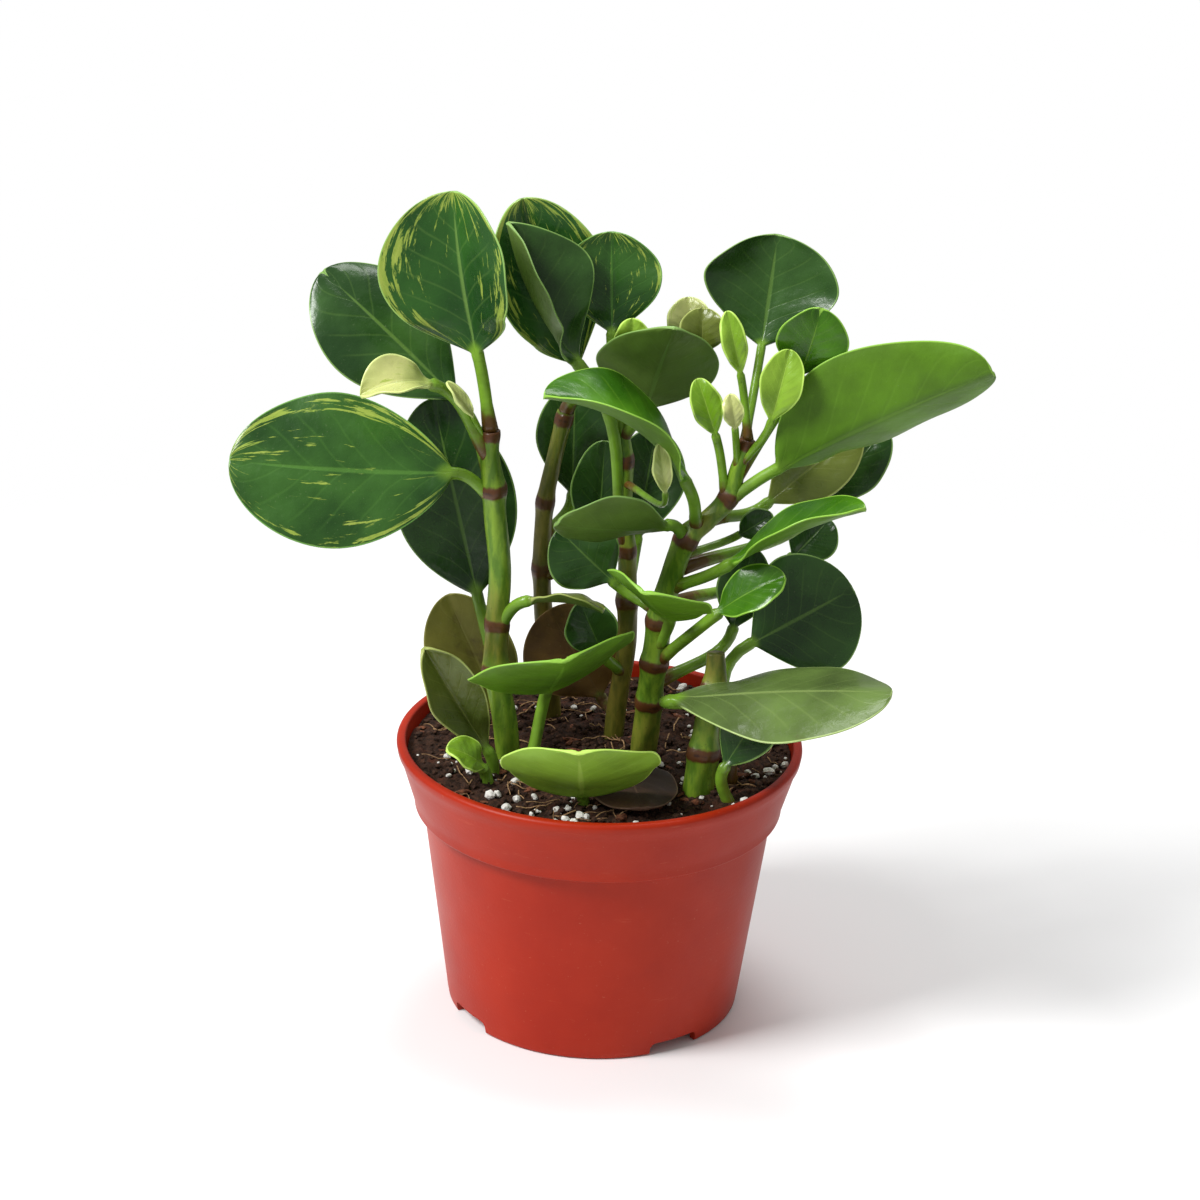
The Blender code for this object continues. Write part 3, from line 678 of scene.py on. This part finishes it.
def make_pot():
    """The pot turned from one profile, then cut by drains and notches."""
    outer, inner, under = pot_profile()
    profile = outer + inner + under
    angles = np.linspace(0, 2 * np.pi, POT_SEGMENTS, endpoint=False)
    points = [(r * np.cos(a), r * np.sin(a), z) for r, z in profile for a in angles]
    floor_ring = len(outer) + len(inner) - 1
    faces = []
    for i in range(len(profile)):
        k = (i + 1) % len(profile)
        if i == floor_ring:
            continue
        for j in range(POT_SEGMENTS):
            m = (j + 1) % POT_SEGMENTS
            faces.append((i * POT_SEGMENTS + j, i * POT_SEGMENTS + m,
                          k * POT_SEGMENTS + m, k * POT_SEGMENTS + j))
    faces.append(tuple(floor_ring * POT_SEGMENTS + j for j in range(POT_SEGMENTS)))
    faces.append(tuple((floor_ring + 1) * POT_SEGMENTS + j for j in range(POT_SEGMENTS))[::-1])
    pot = place_mesh("pot_detail", points, faces, pot_material())
    below, above, round_count = 1, 9, 40
    shapes = [cylinder_points(0, 0, below, above, CENTRE_DRAIN, round_count)]
    for k in range(DRAIN_COUNT):
        a = DRAIN_TURN + 2 * np.pi * k / DRAIN_COUNT
        x = DRAIN_CIRCLE * np.cos(a)
        y = DRAIN_CIRCLE * np.sin(a)
        shapes.append(cylinder_points(x, y, below, above, DRAIN_RADIUS, round_count))
    shape_faces = [ring_faces(2, round_count)] * len(shapes)
    for angle in NOTCH_ANGLES:
        shapes.append(notch_points(np.radians(angle - 90)))
        shape_faces.append(ring_faces(2, 8))
    boolean_cut(pot, shapes, shape_faces)
    pot.data.polygons.foreach_set("use_smooth", [True] * len(pot.data.polygons))
    pot.data.set_sharp_from_angle(angle=np.radians(40))
    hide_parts("pot")


def soil_level(x, y):
    """Height of the loose soil: a low mound with lumps."""
    x = np.asarray(x, float)
    y = np.asarray(y, float)
    lumps = np.sin(0.23 * x + 0.6) * np.cos(0.19 * y) + 0.6 * np.sin(0.41 * y - 0.25 * x + 1.0)
    return SOIL_TOP + SOIL_RIPPLE * lumps / 1.6


def make_soil():
    """The soil's surface, with broad and fine lumps, down to 6 mm below its top."""
    rings, around, wave_count = 90, 260, 60
    radius_here = np.interp(SOIL_TOP, [COLLAR_BOTTOM + 1.0, POT_HEIGHT - 4.0],
                            [COLLAR_LOW_RADIUS - WALL, RIM_RADIUS - WALL - 1.1]) - 0.25
    angles = np.linspace(0, 2 * np.pi, around, endpoint=False)
    waves = rng.uniform(-1, 1, (wave_count, 2))
    lengths = rng.uniform(0.6, 2.6, (wave_count, 1))
    waves = waves / np.linalg.norm(waves, axis=1)[:, None] * lengths
    phases = rng.uniform(0, 2 * np.pi, wave_count)
    points = [(radius_here * np.cos(a), radius_here * np.sin(a), SOIL_TOP - 6.0) for a in angles]
    for radius in np.linspace(radius_here, 0.6, rings):
        x = radius * np.cos(angles)
        y = radius * np.sin(angles)
        fine = np.sin(np.outer(x, waves[:, 0]) + np.outer(y, waves[:, 1]) + phases)
        fine = fine.sum(axis=1) / wave_count**0.5
        edge = 0.5 * np.exp(-(((radius_here - radius) / 1.2) ** 2))
        points += list(zip(x, y, soil_level(x, y) + 0.42 * fine - edge))
    soil = place_mesh("soil_detail", points, ring_faces(rings + 1, around), soil_material())
    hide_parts("soil")


def scatter(name, look, count, size, squash, radius_range, front=0.0, fineness=1, raised=0.0):
    """Loose grains on the soil, as one mesh: each a rough lump squashed by its own numbers.

    front is the share of tries kept off the middle and back.
    """
    bm = bmesh.new()
    for _ in range(count):
        while True:
            x, y = rng.uniform(-48, 48, 2)
            if not radius_range[0] < np.hypot(x, y) < radius_range[1]:
                continue
            if rng.uniform() >= front or y <= -8:
                break
        grain = size[0] + (size[1] - size[0]) * rng.uniform() ** 2
        made = bmesh.ops.create_icosphere(bm, subdivisions=fineness, radius=1.0)["verts"]
        stretch = np.array([rng.uniform(*s) for s in squash]) * grain
        heading = Matrix.Rotation(rng.uniform(0, 2 * np.pi), 3, "Z")
        turned = heading @ Matrix.Rotation(rng.normal(0, 0.35), 3, "X")
        z = float(soil_level(x, y)) + stretch[2] * 0.75 + raised
        for v in made:
            rough = 1 + rng.uniform(-0.16, 0.16)
            v.co = turned @ Vector(stretch * np.array(v.co)) * rough
            v.co = (v.co + Vector((x, y, z))) * MM + POT_AXIS
    mesh = bpy.data.meshes.new(name)
    bm.to_mesh(mesh)
    bm.free()
    mesh.materials.append(look)
    obj = bpy.data.objects.new(name, mesh)
    bpy.context.scene.collection.objects.link(obj)
    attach(obj, "root")


def fibres(name, look, count):
    """Thin bent fibres lying on the soil, as one mesh of little tubes."""
    points, faces = [], []
    for _ in range(count):
        while True:
            x, y = rng.uniform(-46, 46, 2)
            if np.hypot(x, y) < 46 and (x < 5 or rng.uniform() < 0.4):
                break
        heading = rng.uniform(0, np.pi * 2)
        long = rng.uniform(2.5, 9.0)
        steps = np.linspace(-0.5, 0.5, 8)
        bend = rng.normal(0, 0.9)
        px = x + long * steps * np.cos(heading) - bend * 3 * steps**2 * np.sin(heading)
        py = y + long * steps * np.sin(heading) + bend * 3 * steps**2 * np.cos(heading)
        reach = np.hypot(px, py)
        shrink = np.minimum(1.0, 47.6 / np.maximum(reach, 1e-6))
        px, py = px * shrink, py * shrink
        pz = soil_level(px, py) + 0.55 + 0.7 * np.abs(np.sin(steps * 4 + bend))
        path = np.stack([px, py, pz], -1)
        ring = tube(path, np.full(8, rng.uniform(0.09, 0.22)), 5)
        start = len(points)
        points += list(ring)
        faces += [tuple(start + v for v in f) for f in ring_faces(8, 5)]
    place_mesh(name, points, faces, look)


def fill_pot():
    """The soil and the crumbs, bark, perlite and fibres that lie on it."""
    few = 1.0
    make_soil()
    crumb = grain_material("soil_crumb", (34, 22, 16), (78, 52, 37), 900.0, 0.8)
    scatter("soil_crumbs", crumb, int(1500 * few), (0.35, 1.25),
            ((0.7, 1.3), (0.6, 1.1), (0.5, 0.9)), (1.0, 48.0))
    bark = grain_material("soil_bark", (74, 42, 28), (134, 82, 54), 1200.0, 0.7)
    scatter("soil_bark_chips", bark, int(130 * few), (0.8, 2.2),
            ((0.9, 2.0), (0.4, 0.8), (0.2, 0.45)), (6.0, 47.5))
    white = grain_material("soil_perlite", (206, 202, 194), (244, 242, 236), 1500.0, 0.75)
    scatter("soil_perlite_grains", white, int(150 * few), (0.35, 1.35),
            ((0.8, 1.2), (0.7, 1.1), (0.6, 1.0)), (14.0, 48.0), front=0.7, fineness=2, raised=0.1)
    straw = grain_material("soil_fibre", (120, 88, 58), (186, 150, 108), 1500.0, 0.7)
    fibres("soil_fibres", straw, int(150 * few))


rng = np.random.default_rng(11)
make_pot()
fill_pot()

# ---------------------------------------------------------------- stems

STEM_LEFT = "stem_left"
STEM_MIDDLE = "stem_middle"
STEM_FRONT = "stem_front"
STEM_BACK = "stem_back"
STEM_RIGHT = "stem_right"
stem(STEM_LEFT,
     [(-22, -8, STEM_DEPTH), (-24, -8, 78), (-26.5, -8, 94), (-26.5, -7, 106), (-26, -7, 120),
      (-27.5, -6.5, 136), (-28, -6.5, 142), (-29, -7, 150), (-29, -7, 157)],
     [3.4, 3.3, 3.4, 3.0, 3.0, 3.0, 3.1, 2.5, 2.3], (94, 106, 141.5, 156),
     [(60, 0.2), (92, 0.35), (100, 0.6), (112, 0.5), (130, 0.2), (157, 0.0)])
stem(STEM_MIDDLE,
     [(3, 7, STEM_DEPTH), (4, 7, 78), (6, 6.5, 94), (6, 6, 108), (5.5, 5, 122), (4.5, 5, 134),
      (4, 5, 146), (2.5, 7, 158), (1, 9, 168)],
     [2.8, 2.7, 2.6, 2.8, 2.3, 2.2, 2.4, 1.9, 1.6], (108, 122, 146, 163),
     [(60, 0.6), (100, 0.7), (122, 0.5), (150, 0.3), (168, 0.1)])
stem(STEM_FRONT,
     [(10.5, 1, STEM_DEPTH), (12, -1, 80), (13, -4, 94), (14, -6, 106), (16, -8, 118),
      (20, -9, 131), (25, -8.5, 136), (30, -8, 142), (32, -8, 150), (34, -8, 157)],
     [3.8, 3.6, 3.4, 3.5, 3.1, 3.0, 2.6, 2.5, 2.0, 1.8], (84, 96, 108, 131, 142, 156),
     [(60, 0.6), (82, 0.5), (90, 0.15), (125, 0.1), (135, 0.5), (157, 0.1)])
stem(STEM_BACK,
     [(-12, 19, STEM_DEPTH), (-14, 20, 84), (-16, 21, 104), (-16, 22, 124), (-14, 23, 138),
      (-11, 24, 152)],
     [2.8, 2.7, 2.5, 2.4, 2.2, 2.2], (90, 110, 128, 150),
     [(60, 0.8), (110, 0.8), (152, 0.5)])
stem(STEM_RIGHT,
     [(24, -24, STEM_DEPTH), (25.5, -23.5, 78), (26.5, -22, 88), (28, -20, 98), (28, -19, 105)],
     [4.4, 4.0, 3.3, 3.0, 2.4], (80, 96), [(60, 0.3), (88, 0.4), (105, 0.6)])

# ---------------------------------------------------------------- leaves
# Leaves on the left stem
leaf("leaf_left_upright", (STEM_LEFT, 157), base=(-32.5, -5, 176), tip=(-39, -2, 215.5), width=41,
     face=(-22, 12), fold=14, fold_r=32, curl=5, arch=2, sway=-1, widest=0.52, look="streaked")
leaf("leaf_left_wide", (STEM_LEFT, 139), base=(-38, -8, 146), tip=(-92.5, -12, 149), width=39,
     face=(0, 32), fold=0, curl=-4, arch=2, sway=-2, widest=0.54, taper=0.6, look="edged")
leaf("leaf_left_curled", (STEM_LEFT, 150), base=(-43, -12, 170), tip=(-60, -18, 168.5), width=15,
     face=(0, 60), fold=20, curl=30, arch=5, blunt=0.8, look="cream")
leaf("leaf_left_back", (STEM_LEFT, 143), base=(-38, 4, 161), tip=(-72, 14, 190), width=32,
     face=(15, 40), fold=5, curl=-25, arch=4, sway=-1, notch=2, look="dark")
leaf("leaf_left_shaded", (STEM_LEFT, 92), base=(-32, 2, 110), tip=(-44, 8, 160), width=31,
     face=(0, 15), fold=8, curl=8, widest=0.5, look="dark")
leaf("leaf_left_inner", (STEM_LEFT, 105), base=(-19, -11, 114), tip=(0, -16, 114), width=17,
     face=(180, 70), fold=5, curl=8, look="olive")
leaf("leaf_left_yellowing", ("soil", -25, 6), base=(-25, 7, 75), tip=(-40, 9, 107), width=24,
     face=(-10, 15), arch=2, look="yellowing")
leaf("leaf_left_folded", ("soil", -26, -16), base=(-28, -16, 75), tip=(-44, -22, 105), width=17,
     face=(20, 15), fold=30, arch=-3, look="olive")
leaf("leaf_left_sprout", ("soil", -27, -22), base=(-29, -22, 73), tip=(-38, -26, 80), width=10,
     face=(0, 60), look="bright")

# Leaves low at the front and in the middle
leaf("leaf_front_raised", ("soil", -18, -14), base=(-13, -18, 94), tip=(-9, -43, 112), width=44,
     face=(208, 48), fold=8, arch=-1, taper=0.5, widest=0.5, look="fresh")
leaf("leaf_front_low", ("soil", -3, -32), base=(-4, -35, 73.5), tip=(-5, -51, 91.5), width=40,
     face=(182, 40), fold=8, curl=8, arch=-1, taper=0.45, widest=0.45, look="bright")
leaf("leaf_centre_dying", (STEM_MIDDLE, 76), base=(0, 13, 78), tip=(-14, 16, 101), width=28,
     face=(0, 20), look="dying")
leaf("leaf_front_dead", ("soil", 4, -8), base=(5, -12, 73), tip=(11, -42, 72.8), width=23,
     face=(0, 88), fold=-2, curl=-8, arch=1, look="dead")
leaf("leaf_low_inner", (STEM_MIDDLE, 88), base=(0, 0, 96), tip=(-6, -3, 111), width=14,
     face=(0, 20), look="dark")
leaf("leaf_centre_glossy", (STEM_FRONT, 110), base=(2, -2, 116.5), tip=(-12, -2, 130), width=20,
     face=(-5, 20), look="dark")
leaf("leaf_centre_cupped", (STEM_FRONT, 98), base=(16, -15, 113), tip=(9.5, -35, 127), width=29,
     face=(140, 58), fold=12, curl=8, arch=-1, taper=0.5, look="fresh")
leaf("leaf_centre_boat", (STEM_FRONT, 131), base=(15, -13, 136), tip=(-12, -24, 140), width=28,
     face=(215, 48), fold=5, curl=8, arch=-2, look="dark")
leaf("leaf_centre_arched", (STEM_FRONT, 134), base=(19, -18, 149), tip=(-16, -23, 171.5), width=34,
     face=(68, 57), fold=35, curl=0, fold_r=5, arch=12, look="fresh")

# Leaves at the top and the back, on the middle and back stems
leaf("leaf_top_back", (STEM_BACK, 152), base=(-8, 16, 167), tip=(-23, 18, 209), width=32,
     face=(0, 5), fold=45, curl=0, fold_r=0, arch=2, sway=-3, look="streaked")
leaf("leaf_top_folded", (STEM_MIDDLE, 122), base=(-8, 4, 171), tip=(-26, 6, 206), width=34,
     face=(62, 8), fold=48, curl=4, arch=-7, blunt=0.7, look="dark")
leaf("leaf_top_round", (STEM_MIDDLE, 168), base=(0, 11, 177), tip=(-1, 15, 202), width=26,
     face=(-4, 12), fold=8, arch=0, look="edged")
leaf("leaf_top_bud", (STEM_MIDDLE, 164), base=(5, 3, 174), tip=(5, 2, 184), width=9,
     face=(0, 20), petiole=1.0, look="bright")
leaf("leaf_centre_upper", (STEM_MIDDLE, 152), base=(9, 3, 161.5), tip=(15, -11, 186), width=31,
     face=(183, 33), fold=4, arch=2, widest=0.42, blunt=0.75, look="dark")
leaf("leaf_top_small", (STEM_MIDDLE, 158), base=(22, 3, 175), tip=(22, 4, 186.5), width=12,
     face=(0, 20), look="olive")
leaf("leaf_top_speckled", (STEM_MIDDLE, 163), base=(20, 24, 168), tip=(19, 28, 182), width=12,
     face=(0, 20), look="cream")
leaf("leaf_back_left", (STEM_BACK, 118), base=(-9, 28, 128), tip=(-9, 34, 156), width=20,
     face=(0, 20), look="dark")
leaf("leaf_back_middle", (STEM_BACK, 108), base=(-2, 17, 118), tip=(-1, 20, 146), width=16,
     face=(0, 20), look="dark")
leaf("leaf_back_centre", (STEM_MIDDLE, 110), base=(8, 19, 120), tip=(12, 27, 147), width=20,
     face=(0, 20), look="dark")

# Leaves on the right
leaf("leaf_right_yellow_bud", (STEM_FRONT, 141), base=(26, -9, 158), tip=(21, -7, 172), width=8,
     face=(0, 20), petiole=1.1, look="bright")
leaf("leaf_right_cream_bud", (STEM_FRONT, 149), base=(30.5, -12, 161), tip=(29, -12, 170),
     width=5.5, face=(0, 20), petiole=0.9, look="cream")
leaf("leaf_shoot_left", (STEM_FRONT, 157), base=(31.5, -7, 173), tip=(27.5, -6, 189), width=6.5,
     face=(0, 20), petiole=1.0, look="bright")
leaf("leaf_shoot_right", (STEM_FRONT, 150), base=(39, -12, 163), tip=(43, -10, 181), width=11,
     face=(0, 20), petiole=1.0, look="bright")
leaf("leaf_top_right_round", (STEM_FRONT, 152), base=(37, 10, 175), tip=(40, 17, 202), width=36,
     face=(-8, 15), fold=5, curl=45, curl_r=20, arch=-3, blunt=0.45, petiole=1.1, look="dark")
leaf("leaf_right_notched", (STEM_FRONT, 145), base=(46, -4, 173), tip=(50, -8, 191), width=18,
     face=(10, 30), fold=5, notch=2, petiole=1.1, look="fresh")
leaf("leaf_right_long", (STEM_FRONT, 140), base=(41.5, -10, 150.5), tip=(91.5, -15, 178.5), width=38,
     face=(180, 10), fold=30, curl=20, fold_r=4, share=0.75, widest_r=0.42, widest=0.6, blunt=0.42,
     look="fresh")
leaf("leaf_right_olive", (STEM_FRONT, 136), base=(40, 2, 137), tip=(62, 4, 157), width=18,
     face=(0, 20), look="olive")
leaf("leaf_right_grey", (STEM_FRONT, 122), base=(54, 8, 134.5), tip=(69, 11, 155), width=15,
     face=(0, 20), look="dark")
leaf("leaf_right_wavy", (STEM_FRONT, 117), base=(30, -16, 127), tip=(62, -27, 147), width=20,
     face=(-79, 58), fold=10, curl=0, fold_r=35, look="fresh")
leaf("leaf_right_small", (STEM_FRONT, 95), base=(28, -18, 115), tip=(44, -22, 127), width=13,
     face=(0, 50), look="fresh")
leaf("leaf_right_dark", ("soil", 33, -18), base=(37, -10, 104), tip=(62, -6, 118), width=32,
     face=(0, 18), fold=4, curl=4, look="dark")
leaf("leaf_right_hidden", (STEM_FRONT, 112), base=(48, 17, 117), tip=(57, 19, 127), width=14,
     face=(0, 20), look="dark")
leaf("leaf_front_broad", (STEM_RIGHT, 92), base=(17, -29, 96), tip=(70, -41, 105), width=34,
     face=(0, 74), fold=-20, curl=4, fold_r=-8, look="dusty")
leaf("leaf_front_corner", ("soil", 33, -29), base=(31, -30, 79), tip=(43, -26, 97), width=15,
     face=(-15, 35), look="dark")
leaf("leaf_right_short", (STEM_FRONT, 126), base=(33, -5, 131), tip=(41, -6, 137), width=8,
     face=(0, 20), petiole=1.0, look="dark")
leaf("leaf_right_shaded", (STEM_FRONT, 88), base=(33, 4, 102), tip=(37, 5, 124), width=14,
     face=(0, 20), look="dark")
leaf("leaf_centre_bud", (STEM_MIDDLE, 140), base=(14, -21, 147), tip=(12, -24, 161), width=5,
     face=(0, 20), petiole=0.8, look="cream", new=True)
leaf("leaf_left_bud", (STEM_LEFT, 152), base=(-33, -10, 161), tip=(-39.5, -12, 171), width=3.4,
     face=(0, 40), petiole=0.6, look="cream", new=True)

# ---------------------------------------------------------------- floor, light and camera

def make_floor():
    """A plain pale floor that keeps the shadow and fades into the white background."""
    half_side = 4.0
    corners = [(-1, -1, 0), (1, -1, 0), (1, 1, 0), (-1, 1, 0)]
    mesh = bpy.data.meshes.new("floor")
    mesh.from_pydata([Vector(corner) * half_side for corner in corners], [], [(0, 1, 2, 3)])
    floor = bpy.data.objects.new("floor", mesh)
    bpy.context.scene.collection.objects.link(floor)
    paint = Nodes("floor_paper")
    reach = paint.add("ShaderNodeVectorMath", operation="LENGTH")
    paint.put(reach.inputs[0], paint.object_place())
    fade = paint.step(reach.outputs["Value"], 0.12, 0.42)
    paint.put(paint.shader.inputs["Alpha"], paint.maths("SUBTRACT", 1.0, fade))
    mesh.materials.append(paint.finish((0.93, 0.93, 0.93, 1.0), 0.9, specular=0.1))
    floor.location.z = min(corner[2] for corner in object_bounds()) - 0.0002
    floor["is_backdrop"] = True


def make_world():
    """White where the camera sees it, and a soft even light on everything else."""
    world = bpy.data.worlds.new("studio")
    world.use_nodes = True
    tree = world.node_tree
    tree.nodes.clear()
    out = tree.nodes.new("ShaderNodeOutputWorld")
    seen = tree.nodes.new("ShaderNodeBackground")
    seen.inputs[0].default_value = (1, 1, 1, 1)
    seen.inputs[1].default_value = 1.0
    light = tree.nodes.new("ShaderNodeBackground")
    light.inputs[0].default_value = (1, 1, 1, 1)
    light.inputs[1].default_value = 0.36
    rays = tree.nodes.new("ShaderNodeLightPath")
    blend = tree.nodes.new("ShaderNodeMixShader")
    tree.links.new(rays.outputs["Is Camera Ray"], blend.inputs[0])
    tree.links.new(light.outputs[0], blend.inputs[1])
    tree.links.new(seen.outputs[0], blend.inputs[2])
    tree.links.new(blend.outputs[0], out.inputs[0])
    bpy.context.scene.world = world


def soft_light(name, place, side, power):
    """A square area light that faces the middle of the plant."""
    data = bpy.data.lights.new(name, "AREA")
    data.size = side
    data.energy = power
    obj = bpy.data.objects.new(name, data)
    obj.location = place
    aim = POT_AXIS + Vector((0, 0, 0.12)) - obj.location
    obj.rotation_euler = aim.to_track_quat("-Z", "Y").to_euler()
    bpy.context.scene.collection.objects.link(obj)


def make_camera():
    """Looks down at the plant from the front, turned a little about its own line of sight."""
    data = bpy.data.cameras.new("camera")
    data.lens = 95.25
    data.sensor_width = 36.0
    camera = bpy.data.objects.new("camera", data)
    bpy.context.scene.collection.objects.link(camera)
    tilt = np.radians(22.03)
    roll = np.radians(1.73)
    distance = 0.8
    target = POT_AXIS + Vector((-0.001, 0, 0.1104))
    back = Vector((0, -np.cos(tilt), np.sin(tilt)))
    rightward = Vector((1, 0, 0))
    upward = Vector((0, np.sin(tilt), np.cos(tilt)))
    axis_x = np.cos(roll) * rightward + np.sin(roll) * upward
    axis_y = -np.sin(roll) * rightward + np.cos(roll) * upward
    turned = Matrix((axis_x, axis_y, back)).transposed().to_4x4()
    camera.matrix_world = Matrix.Translation(target + back * distance) @ turned
    bpy.context.scene.camera = camera


make_floor()
make_world()
soft_light("key_light", (-0.85, -0.45, 1.1), 0.45, 20.0)
soft_light("top_light", (0.1, 0.35, 1.4), 0.6, 9.0)
make_camera()
bpy.context.scene.view_settings.view_transform = "Standard"
